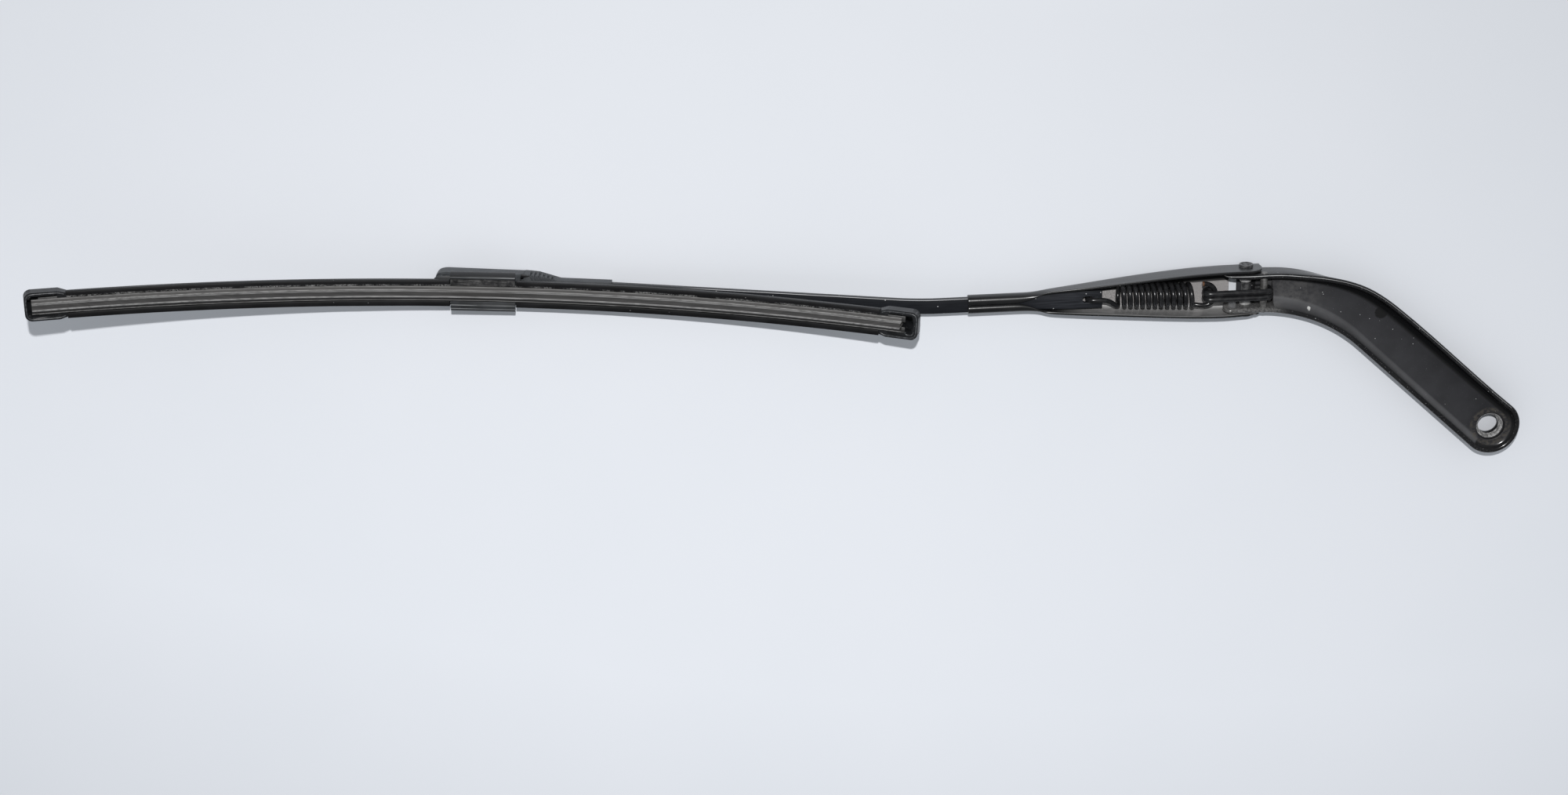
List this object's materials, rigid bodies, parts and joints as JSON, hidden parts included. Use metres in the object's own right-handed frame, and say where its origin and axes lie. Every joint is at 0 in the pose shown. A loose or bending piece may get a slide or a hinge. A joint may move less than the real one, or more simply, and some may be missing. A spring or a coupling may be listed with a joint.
{
  "type": "windscreen wiper arm",
  "caption": "Bent windscreen wiper arm with a sprung folding hinge, a flat bar and a bowed beam blade with rubber lip, spoiler strips and end caps, held on a tapered spindle bore.",
  "frame": {"origin": "centre of the plain hole below the spindle taper in the head", "axes": "+Z along the spindle bore out of the underside, +X along the blade from its tip end towards the head"},
  "size_m": [0.9109, 0.1276, 0.0838],
  "materials": {
    "head_paint": "black paint on die-cast alloy, worn at the rim",
    "black_steel": "satin black paint",
    "spring_steel": "glossy black coating",
    "bare_steel": "dull bare metal",
    "rail_steel": "dark coating",
    "connector_plastic": "moulded",
    "base_plastic": "moulded",
    "cap_plastic": "moulded, dusty",
    "lip_rubber": "weathered grey",
    "spoiler_rubber": "smooth black"
  },
  "bodies": {
    "head": {"arm_head": "head_paint", "spring_pin": "bare_steel", "hinge_bush_upper": "bare_steel", "hinge_bush_lower": "bare_steel"},
    "arm": {"hinge_rivet": "black_steel", "arm_channel": "black_steel", "arm_bar": "black_steel", "arm_end_coupling": "connector_plastic", "connector_cover": "connector_plastic", "blade_adapter": "connector_plastic"},
    "spring": {"tension_spring": "spring_steel"},
    "link": {"spring_link": "spring_steel"},
    "blade": {"pivot_pin": "bare_steel", "blade_base": "base_plastic", "rail_upper": "rail_steel", "rail_lower": "rail_steel", "wiper_rubber": "lip_rubber", "spoiler_tip": "spoiler_rubber", "spoiler_heel": "spoiler_rubber", "end_cap_tip": "cap_plastic", "end_cap_heel": "cap_plastic"}
  },
  "joints": [
    {"name": "arm_hinge", "type": "hinge", "parent": "head", "child": "arm", "pos_m": [-0.16053, 0.08907, -0.00025], "axis": [0.0499, -0.9988, 0], "range_deg": [0, 45], "stiffness_Nm_per_rad": 1, "springref_deg": -148.97, "deforming": ["tension_spring"]},
    {"name": "link_swing", "type": "hinge", "parent": "head", "child": "link", "pos_m": [-0.15065, 0.08956, 0.00655], "axis": [0.0499, -0.9988, 0], "range_deg": [0, 35]},
    {"name": "spring_swing", "type": "hinge", "parent": "arm", "child": "spring", "pos_m": [-0.25661, 0.08427, 0.00575], "axis": [0.0499, -0.9988, 0], "range_deg": [-2.3, 0]},
    {"name": "blade_pivot", "type": "hinge", "parent": "arm", "child": "blade", "pos_m": [-0.63054, 0.09033, 0.00355], "axis": [0.0426, 0.9991, 0], "range_deg": [-8, 2.6]}
  ],
  "couplings": [
    {"joint": "link_swing", "follows": "arm_hinge", "ratio": 0.767},
    {"joint": "spring_swing", "follows": "arm_hinge", "ratio": -0.05}
  ]
}
